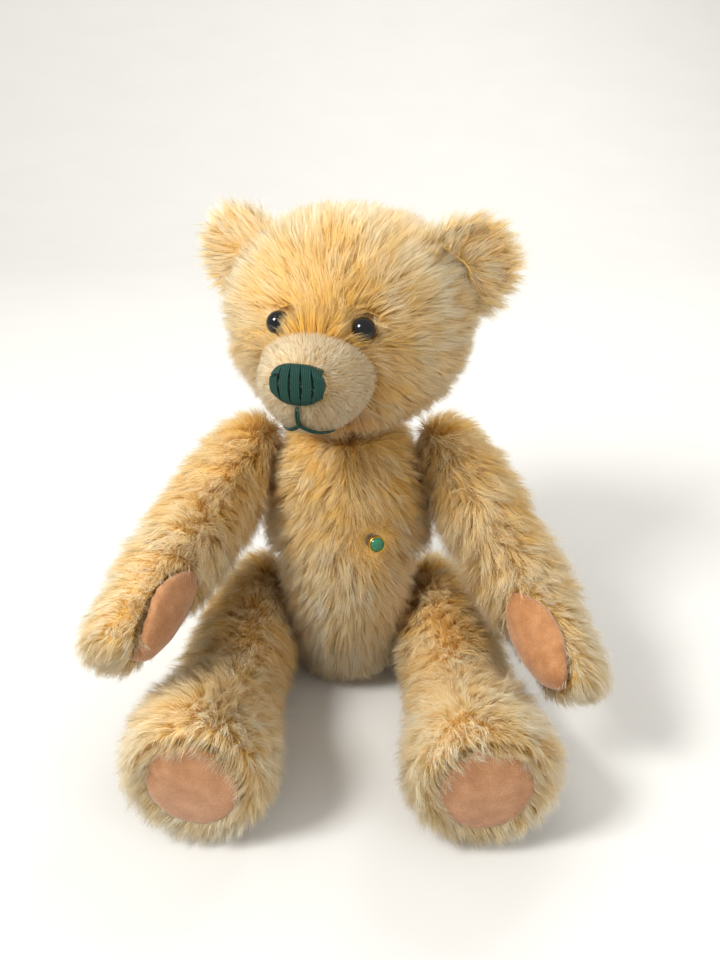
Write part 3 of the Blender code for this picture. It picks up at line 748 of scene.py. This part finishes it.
class BEAR_OT_head(bpy.types.Operator):
    """The head's cloth and its pile: long over the skull, clipped on the muzzle, and parted round the eyes"""

    bl_idname = "bear.head"
    bl_label = "Head"

    def execute(self, context):
        settings = context.scene.bear_plush
        parts = (("head_skin", 0), ("head_stuffing", 0.6 * MM), ("nose_stitching", 0.3 * MM))
        cloth = cloth_shell("head_cloth", parts, 2.6, settings.backing_depth * 0.9, cloth_of(settings))
        nose, left, forward, up = head_axes()
        points, _, normals = arrays(cloth.data)
        # The muzzle's cloth lies higher, because its pile is clipped short.
        muzzle = 1 - smooth_step((nose - points) @ forward, 0.022, 0.040)
        lift = (settings.backing_depth * 0.9 - settings.clipped + 1.2 * MM) * muzzle
        cloth.data.vertices.foreach_set("co", (points + normals * lift[:, None]).ravel())
        cloth.data.update()
        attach(cloth, "head")
        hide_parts("head_skin", "head_stuffing")
        eyes = [np.array(centre(f"{side}_eye")) for side in SIDES]

        def muzzle_share(roots):
            low = (roots - nose) @ up
            reach = (nose - roots) @ forward + 0.55 * np.maximum(low, 0)
            return 1 - smooth_step(reach, 0.024, 0.034)

        def groom(roots, normals, on_muzzle):
            share = muzzle_share(roots)
            lengths = settings.pile * np.ones(len(roots))
            crown = smooth_step((roots - nose) @ up, 0.02, 0.07)
            lengths *= 1.0 + 0.05 * crown
            for eye in eyes:
                gap = np.linalg.norm(roots - eye, axis=1)
                lengths = np.minimum(lengths, PILE_BY_EYE + 0.8 * np.maximum(gap - 8 * MM, 0))
            # Between the eyes and over the muzzle the long pile is trimmed down to meet the clipped pile.
            lengths = np.minimum(lengths, settings.clipped + 26 * MM * (1 - share) ** 1.2)
            away = roots - (nose + up * 0.012 - forward * 0.012)
            comb = unit(away) + up * -0.25 - forward * 0.35
            lean = np.full(len(roots), 0.52)
            # Gold shows in the middle of the brow and round the eyes. The pile on the crown is paler: painted
            # light from above.
            brow = roots - nose - up * 0.030
            face = np.exp(-((brow @ left) ** 2) / 0.0009 - np.maximum(brow @ up - 0.006, 0) ** 2 / 0.0006)
            tone = 0.66 + 0.12 * crown - 0.52 * face
            if on_muzzle:
                lengths = np.where(share > 0.5, settings.clipped, 0)
                comb = unit(roots - nose + forward * 0.004) + up * -0.15
                lean = np.full(len(roots), 0.38)
                tone = np.full(len(roots), 0.6)
            else:
                lengths = np.where(share > 0.5, 0, lengths)
            return lengths, comb, lean, tone

        skip = (
            (("left_eye", "right_eye"), 0.1 * MM),
            (("nose_stitching",), 0.5 * MM),
            (("mouth_upright_thread",), 0.6 * MM),
        )
        grow(
            "head_pile",
            "head",
            cloth,
            lambda r, n: groom(r, n, False),
            settings.per_cm2,
            settings.strand_width,
            body_mohair(settings),
            11,
            skip,
        )
        name = "mohair, clipped"
        middle = blend_hex(settings.muzzle_root, settings.muzzle_tip, 0.5)
        clipped = shared(name, lambda: mohair_material(name, settings.muzzle_root, middle, settings.muzzle_tip))
        grow(
            "muzzle_pile",
            "head",
            cloth,
            lambda r, n: groom(r, n, True),
            settings.per_cm2 * 3.2,
            settings.strand_width * 1.1,
            clipped,
            12,
            skip,
            lock_size=5,
            gather=0.2,
        )
        return {"FINISHED"}


class BEAR_OT_ears(bpy.types.Operator):
    """Both ears: two layers of cloth, cupped, with long pile on the back and a shorter one in the hollow"""

    bl_idname = "bear.ears"
    bl_label = "Ears"

    def execute(self, context):
        settings = context.scene.bear_plush
        head_middle = np.array(centre("head_skin"))
        for number, side in enumerate(SIDES):
            node = f"{side}_ear"
            cloth = cloth_shell(f"{side}_ear_cloth", ((node, 0),), 1.5, 4.2 * MM, cloth_of(settings), 3)
            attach(cloth, "head")
            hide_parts(node)
            middle = np.array(centre(node))
            outward = unit(middle - head_middle)
            # The ear is sewn down to the head's cloth, which lies under the pile.
            points, _, _ = arrays(cloth.data)
            sewn = 1 - smooth_step((points - middle) @ outward, -0.016, 0.004)
            cloth.data.vertices.foreach_set("co", (points - outward * EAR_SEWN_IN * sewn[:, None]).ravel())
            cloth.data.update()

            def groom(roots, normals, middle=middle, outward=outward):
                lengths = np.full(len(roots), settings.pile * EAR_PILE)
                hollow = smooth_step(-normals[:, 1], 0.1, 0.6)
                lengths *= 1 - 0.25 * hollow
                comb = unit(roots - middle) * 0.7 + outward * 0.9 + np.array([0, 0, -0.25])
                lean = np.full(len(roots), 0.60)
                # Painted shade: the pile in the hollow of the ear is deeper gold.
                tone = 0.78 - 0.15 * hollow
                return lengths, comb, lean, tone

            grow(
                f"{side}_ear_pile",
                "head",
                cloth,
                groom,
                settings.per_cm2 * 1.05,
                settings.strand_width * 0.9,
                body_mohair(settings),
                21 + number,
            )
        return {"FINISHED"}


class BEAR_OT_torso(bpy.types.Operator):
    """The torso's cloth and pile, combed down, with the stud's place left clear"""

    bl_idname = "bear.torso"
    bl_label = "Torso"

    def execute(self, context):
        settings = context.scene.bear_plush
        parts = (("torso_skin", 0), ("torso_stuffing", 0.6 * MM))
        cloth = cloth_shell("torso_cloth", parts, 2.8, settings.backing_depth, cloth_of(settings))
        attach(cloth, "torso")
        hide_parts("torso_skin", "torso_stuffing")
        stud = np.array(centre("chest_stud"))

        def groom(roots, normals):
            lengths = np.full(len(roots), settings.pile)
            gap = np.linalg.norm(roots - stud, axis=1)
            lengths = np.minimum(lengths, PILE_BY_STUD + 0.9 * np.maximum(gap - 10 * MM, 0))
            # The two front panels are combed down and away from the seam between them.
            down = np.array([0.0, 0.0, -1.0])
            comb = down + np.stack([roots[:, 0] * 9, np.zeros(len(roots)), np.zeros(len(roots))], axis=1)
            lean = np.full(len(roots), 0.47)
            # Painted shade: the pile high on the torso, under the head, is deeper gold, and it grows paler lower
            # down.
            upper = smooth_step(roots[:, 2], 0.07, 0.14)
            tone = 0.72 - 0.42 * upper
            return lengths, comb, lean, tone

        grow(
            "torso_pile",
            "torso",
            cloth,
            groom,
            settings.per_cm2,
            settings.strand_width,
            body_mohair(settings),
            31,
            ((("chest_stud",), 3.2 * MM),),
        )
        return {"FINISHED"}


class BEAR_OT_limbs(bpy.types.Operator):
    """The cloth and pile of both arms and both legs, combed from the joint to the paw"""

    bl_idname = "bear.limbs"
    bl_label = "Arms and legs"

    def execute(self, context):
        settings = context.scene.bear_plush
        for number, body in enumerate(PLUSH_BODIES[2:]):
            parts = ((f"{body}_skin", 0), (f"{body}_stuffing", 0.6 * MM), (f"{body}_pad", 0.6 * MM))
            depth = settings.backing_depth * 0.85
            cloth = cloth_shell(f"{body}_cloth", parts, 2.6, depth, cloth_of(settings), 5)
            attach(cloth, body)
            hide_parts(f"{body}_skin", f"{body}_stuffing")
            start, ahead = limb_line(body)
            pad = np.array(centre(f"{body}_pad"))

            def groom(roots, normals, start=start, ahead=ahead, pad=pad):
                along = (roots - start) @ ahead
                gap = np.linalg.norm(roots - pad, axis=1)
                lengths = np.full(len(roots), settings.pile * LIMB_PILE)
                lengths = np.minimum(lengths, PILE_BY_PAD + 0.5 * np.maximum(gap - 22 * MM, 0))
                lengths *= 1 - 0.25 * (1 - smooth_step(along, -0.02, 0.03))
                comb = np.tile(ahead, (len(roots), 1)) + np.array([0.0, 0.0, -0.35])
                lean = np.full(len(roots), 0.47)
                # Painted shade: the pile near the joint, where the limb meets the body, is deeper gold, and it
                # grows paler towards the paw.
                tone = 0.42 + 0.34 * smooth_step(along, 0.03, 0.14)
                return lengths, comb, lean, tone

            grow(
                f"{body}_pile",
                body,
                cloth,
                groom,
                settings.per_cm2,
                settings.strand_width,
                body_mohair(settings),
                41 + number,
                (((f"{body}_pad",), 1.0 * MM),),
            )
        return {"FINISHED"}


class BEAR_OT_pads(bpy.types.Operator):
    """The suede pads of the paws and feet, crowned by the stuffing and turned under at the seam"""

    bl_idname = "bear.pads"
    bl_label = "Pads"

    def execute(self, context):
        settings = context.scene.bear_trim
        suede = suede_material(settings.suede, settings.suede_worn)
        for body in PLUSH_BODIES[2:]:
            node = f"{body}_pad"
            made = link(bpy.data.objects.new(f"{body}_suede", joined(((node, 0.8 * MM),))))
            remesh = made.modifiers.new("cloth", "REMESH")
            remesh.mode = "VOXEL"
            remesh.voxel_size = 1.1 * MM
            soften = made.modifiers.new("turned under", "SMOOTH")
            soften.factor, soften.iterations = 0.6, 8
            evaluated(made)
            largest_part(made.data)
            points, _, _ = arrays(made.data)
            middle, out = pad_facing(body)
            radii = np.linalg.norm((points - middle) - ((points - middle) @ out)[:, None] * out, axis=1)
            crown = 1 - (radii / radii.max()) ** 2
            outline = (points - middle) - ((points - middle) @ out)[:, None] * out
            lifted = points + outline * PAD_OVERLAP + out * (PAD_PROUD + PAD_CROWN * crown)[:, None]
            made.data.vertices.foreach_set("co", lifted.ravel())
            made.data.update()
            made.data.materials.clear()
            made.data.materials.append(suede)
            made.data.shade_smooth()
            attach(made, body)
            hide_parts(node)
        return {"FINISHED"}


class BEAR_OT_face(bpy.types.Operator):
    """The glass eyes, and the nose and mouth stitched in pearl cotton"""

    bl_idname = "bear.face"
    bl_label = "Face"

    def execute(self, context):
        settings = context.scene.bear_face
        thread = thread_material(settings.thread)
        self.stitch_nose(settings, thread)
        self.stitch_mouth(settings, thread)
        # Blown black glass, fire-polished: a hard, clear highlight on a surface with no colour of its own.
        glass = speckled_material(
            "glass, blown black",
            settings.glass,
            blend_hex(settings.glass, "#2A2A30", 0.1),
            3.0,
            0.04,
            0.0,
            0.0,
            Specular_IOR_Level=0.4,
        )
        for side in SIDES:
            middle, _ = spread_axes(f"{side}_eye")
            low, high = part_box(f"{side}_eye")
            radius = max(high[k] - low[k] for k in range(3)) / 2
            _, _, forward, _ = head_axes()
            place = facing_place(middle, forward)
            steps = 22
            profile = []
            for k in range(steps + 1):
                angle = math.pi * k / steps
                x = -radius * math.cos(angle)
                profile.append((x if x > 0 else 0.8 * x, max(radius * math.sin(angle), 0.02 * MM)))
            eye = turned_piece(f"{side}_glass_eye", profile, place, glass, 48)
            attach(eye, "head")
            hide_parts(f"{side}_eye")
        return {"FINISHED"}

    def stitch_nose(self, settings, thread):
        """Satin stitches side by side over a padded form, pulled together into bunches."""
        nose, left, forward, up = head_axes()
        points, _, _ = arrays(NODES["nose_stitching"].data)
        half_wide, half_high, half_deep = (
            np.abs((points - nose) @ axis).max() for axis in (left, up, forward)
        )
        radius = settings.thread_width / 2
        total = settings.nose_bunches * settings.stitches_per_bunch
        strands = []
        for bunch in range(settings.nose_bunches):
            for k in range(settings.stitches_per_bunch):
                number = bunch * settings.stitches_per_bunch + k
                within = (k + 0.5) / settings.stitches_per_bunch - 0.5
                middle = (bunch + 0.5) / settings.nose_bunches * 2 - 1
                at_end = ((number + 0.5) / total * 2 - 1) * 0.96
                at_waist = middle + within * 2 / settings.nose_bunches * 0.74
                path = []
                for step in range(13):
                    v = step / 6 - 1
                    x = (at_waist + (at_end - at_waist) * abs(v) ** 2) * (1 - 0.14 * v**2)
                    tall = half_high * (1 - 0.42 * abs(at_end) ** 3)
                    depth = half_deep * math.sqrt(max(0.0, 1 - 0.80 * x**2 - 0.60 * v**4))
                    outward = left * x * half_wide * 0.97 + up * v * tall
                    path.append(nose + outward + forward * (depth + 0.3 * MM))
                # Each stitch goes back into the cloth at both its ends.
                path = [path[0] - forward * 3.2 * MM, *path, path[-1] - forward * 3.2 * MM]
                strands.append((path, radius))
        made = thread_piece("nose_satin_stitches", strands, thread)
        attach(made, "head")
        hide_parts("nose_stitching")
        core_points, core_faces, _ = arrays(NODES["nose_stitching"].data)
        # Felt padding under the stitches, coloured darker than the thread: painted shade in the gaps between the
        # bunches.
        padding = shared(
            "felt, pressed, dark as painted shade",
            lambda: speckled_material("felt, pressed, dark as painted shade", "#06201A", "#0C3026", 0.8, 0.95),
        )
        core = mesh_piece("nose_padding", nose + (core_points - nose) * 0.93, core_faces, padding)
        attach(core, "head")

    def stitch_mouth(self, settings, thread):
        """The upright below the nose and the two short curves of the mouth, each two plies of thread side by
        side, lying on the clipped pile."""
        _, left, forward, up = head_axes()
        radius = settings.thread_width / 2
        points, triangles, _ = arrays(bpy.data.objects["head_cloth"].data)
        surface = BVHTree.FromPolygons(points.tolist(), triangles.tolist())
        height = bpy.context.scene.bear_plush.clipped * 0.85

        def laid(place, height=height):
            hit, normal, _, _ = surface.ray_cast(Vector(place + forward * 0.03), Vector(-forward), 0.06)
            return place if hit is None else np.array(hit + normal * height)

        upright, _, _ = arrays(NODES["mouth_upright_thread"].data)
        smile, _, _ = arrays(NODES["mouth_smile_thread"].data)
        middle = (upright.min(0) + upright.max(0)) / 2
        low, high = (upright @ up).min() + MOUTH_FORK_RISE, (upright @ up).max()
        half = np.ptp(smile @ left) / 2
        lines = {"mouth_upright_thread": [[middle + up * (z - middle @ up) for z in np.linspace(high, low, 9)]]}
        fork = lines["mouth_upright_thread"][0][-1]
        curves = []
        for sign in (-1, 1):
            steps = np.linspace(0.02, 1, 8)
            curves.append(
                [fork + left * sign * half * t - up * MOUTH_DROP * (1 - (1 - t) ** 1.6) for t in steps]
            )
        lines["mouth_smile_thread"] = curves
        for node, paths in lines.items():
            across = left if node == "mouth_upright_thread" else up
            strands = []
            for path in paths:
                for sign in (-1, 1):
                    place = [p + across * sign * radius * 0.75 for p in path]
                    # Each thread goes into the cloth at both its ends.
                    ends = laid(place[0], -1 * MM), laid(place[-1], -1 * MM)
                    strands.append(([ends[0], *(laid(p) for p in place), ends[1]], radius * 0.95))
            made = thread_piece(node.replace("thread", "stitch"), strands, thread)
            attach(made, "head")
            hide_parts(node)


class BEAR_OT_stud(bpy.types.Operator):
    """The plain enamelled stud on the chest: a gilt cup with a dome of green enamel"""

    bl_idname = "bear.stud"
    bl_label = "Chest stud"

    def execute(self, context):
        settings = context.scene.bear_trim
        middle, rows = spread_axes("chest_stud_washer")
        out = rows[2] * np.sign(-rows[2][1])
        points, _, _ = arrays(NODES["chest_stud"].data)
        reach = (points - middle) @ out
        radial = np.linalg.norm((points - middle) - reach[:, None] * out, axis=1)
        radius, front = radial.max(), reach.max()
        back = reach[radial > radius * 0.9].min()
        place = facing_place(middle, out)
        # Stamped brass, gilt-plated and tumbled: a warm metal with a soft-edged highlight.
        tarnish = blend_hex(settings.gilt, "#8A6420", 0.4)
        gilt = speckled_material("brass, gilt-plated", settings.gilt, tarnish, 1.5, 0.28, 1.0)
        # Fired enamel: glassy and full, so its dome holds one round highlight.
        enamel = speckled_material(
            "enamel, fired",
            settings.enamel,
            blend_hex(settings.enamel, "#1F7A50", 0.5),
            2.0,
            0.12,
            0.0,
            0.02,
            Coat_Weight=0.5,
        )
        shank = 1.1 * MM
        cup = [(reach.min(), 0.02 * MM), (reach.min(), shank), (back, shank), (back, radius * 0.96)]
        cup += [(back + 0.3 * MM, radius), (front - 1.0 * MM, radius), (front - 0.7 * MM, radius * 0.95)]
        cup += [(front - 0.7 * MM, radius * 0.86), (front - 1.2 * MM, radius * 0.82)]
        cup += [(front - 1.2 * MM, 0.02 * MM)]
        made = turned_piece("chest_stud_cup", cup, place, gilt)
        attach(made, "torso")
        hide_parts("chest_stud")
        dome = [(front - 1.25 * MM, 0.02 * MM)]
        for k in range(9):
            angle = math.pi / 2 * k / 8
            height = front - 1.2 * MM + 1.5 * MM * math.sin(angle)
            dome.append((height, max(radius * 0.81 * math.cos(angle), 0.02 * MM)))
        made = turned_piece("chest_stud_enamel", dome, place, enamel)
        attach(made, "torso")
        return {"FINISHED"}


class BEAR_OT_hardware(bpy.types.Operator):
    """Finishes for the joints' discs, washers and pins, and the wire loops of the eyes"""

    bl_idname = "bear.hardware"
    bl_label = "Joint hardware"

    def execute(self, context):
        # Hardboard, wet-pressed from wood fibre: a dull brown speckle.
        board = speckled_material("hardboard, pressed", "#4A2F1B", "#7A5433", 1.2, 0.8)
        # Mild steel, rolled and zinc-plated: grey, slightly clouded, half dull.
        steel = speckled_material("steel, zinc-plated", "#8E9092", "#B4B6B8", 2.5, 0.36, 1.0, 0.01)
        for name, node in NODES.items():
            kind = name.rsplit("_", 1)[-1]
            finish = {"disc": board, "washer": steel, "pin": steel, "loop": steel}.get(kind)
            if finish:
                for slot in node.material_slots:
                    slot.material = finish
        return {"FINISHED"}


class BEAR_OT_stage(bpy.types.Operator):
    """A pale floor, soft studio light from the upper left, and a camera above the bear's eye level"""

    bl_idname = "bear.stage"
    bl_label = "Stage"

    def execute(self, context):
        settings = context.scene.bear_stage
        floor, tree, shader = new_material("paper backdrop, matte", 0.9)
        grain = add_node(tree, "ShaderNodeTexNoise", None, Scale=60.0, Detail=3.0)
        stops = ((0.3, blend_hex(settings.floor, "#D0CEC8", 0.15)), (0.7, settings.floor))
        tint = ramp(tree, stops, grain.outputs["Fac"])
        tree.links.new(tint, shader.inputs["Base Color"])
        reach, rise, bend = 1.6, 1.5, 0.5
        profile = [(-reach, 0.0)]
        for k in range(13):
            angle = math.pi / 2 * k / 12
            profile.append((0.75 + bend * math.sin(angle), bend * (1 - math.cos(angle))))
        profile.append((0.75 + bend, rise))
        points = [(x, y, z) for y, z in profile for x in (-2.2, 2.2)]
        faces = [(2 * k, 2 * k + 1, 2 * k + 3, 2 * k + 2) for k in range(len(profile) - 1)]
        backdrop = mesh_piece("backdrop", points, faces, floor)
        for name, place, power, size in (
            ("key_lamp", (-0.80, -0.55, 1.15), 26.0, 0.40),
            ("fill_lamp", (1.0, -0.9, 0.7), 6.0, 0.9),
            ("back_lamp", (0.35, 0.75, 0.95), 9.0, 0.6),
        ):
            lamp = bpy.data.lights.new(name, "AREA")
            lamp.energy, lamp.size = power, size
            made = link(bpy.data.objects.new(name, lamp))
            made.location = place
            # Only the key lamp shows as a highlight in the eyes.
            made.visible_glossy = name == "key_lamp"
            made.rotation_euler = (Vector((0, 0, 0.12)) - Vector(place)).to_track_quat("-Z", "Y").to_euler()
        world = bpy.data.worlds.new("studio")
        world.use_nodes = True
        background = world.node_tree.nodes["Background"]
        background.inputs["Color"].default_value = (1.0, 1.0, 1.0, 1.0)
        background.inputs["Strength"].default_value = 0.75
        context.scene.world = world
        camera = bpy.data.cameras.new("camera")
        camera.sensor_fit, camera.sensor_height, camera.lens = "VERTICAL", 24.0, settings.lens
        camera.clip_start = 0.01
        made = link(bpy.data.objects.new("camera", camera))
        made.location = (0.016, -0.4535, 0.382)
        aim = Vector((0.0065, 0.0, 0.1167)) - made.location
        made.rotation_euler = aim.to_track_quat("-Z", "Y").to_euler()
        context.scene.camera = made
        context.scene.view_settings.view_transform = "Standard"
        # Pale pile gets much of its light from its neighbours.
        context.scene.cycles.diffuse_bounces = context.scene.cycles.transmission_bounces = 8
        return {"FINISHED"}


class BEAR_PT_panel(bpy.types.Panel):
    """Lists the bear's sizes, colours and pieces"""

    bl_idname = "BEAR_PT_panel"
    bl_label = "Jointed teddy bear"
    bl_space_type = "VIEW_3D"
    bl_region_type = "UI"
    bl_category = "Bear"

    def draw(self, context):
        for name in SETTINGS:
            group = getattr(context.scene, name)
            for key in group.bl_rna.properties.keys():
                if key not in ("rna_type", "name"):
                    self.layout.prop(group, key)
        for operator in OPERATORS:
            self.layout.operator(operator.bl_idname)


SETTINGS = {
    "bear_plush": PlushSettings,
    "bear_face": FaceSettings,
    "bear_trim": TrimSettings,
    "bear_stage": StageSettings,
}
OPERATORS = (
    BEAR_OT_head,
    BEAR_OT_ears,
    BEAR_OT_torso,
    BEAR_OT_limbs,
    BEAR_OT_pads,
    BEAR_OT_face,
    BEAR_OT_stud,
    BEAR_OT_hardware,
    BEAR_OT_stage,
)


def register():
    for name, group in SETTINGS.items():
        bpy.utils.register_class(group)
        setattr(bpy.types.Scene, name, bpy.props.PointerProperty(type=group))
    for kind in (*OPERATORS, BEAR_PT_panel):
        bpy.utils.register_class(kind)


def unregister():
    for kind in reversed((*OPERATORS, BEAR_PT_panel)):
        bpy.utils.unregister_class(kind)
    for name, group in SETTINGS.items():
        delattr(bpy.types.Scene, name)
        bpy.utils.unregister_class(group)


def main():
    register()
    for operator in OPERATORS:
        module, name = operator.bl_idname.split(".")
        getattr(getattr(bpy.ops, module), name)()


if __name__ == "__main__":
    main()
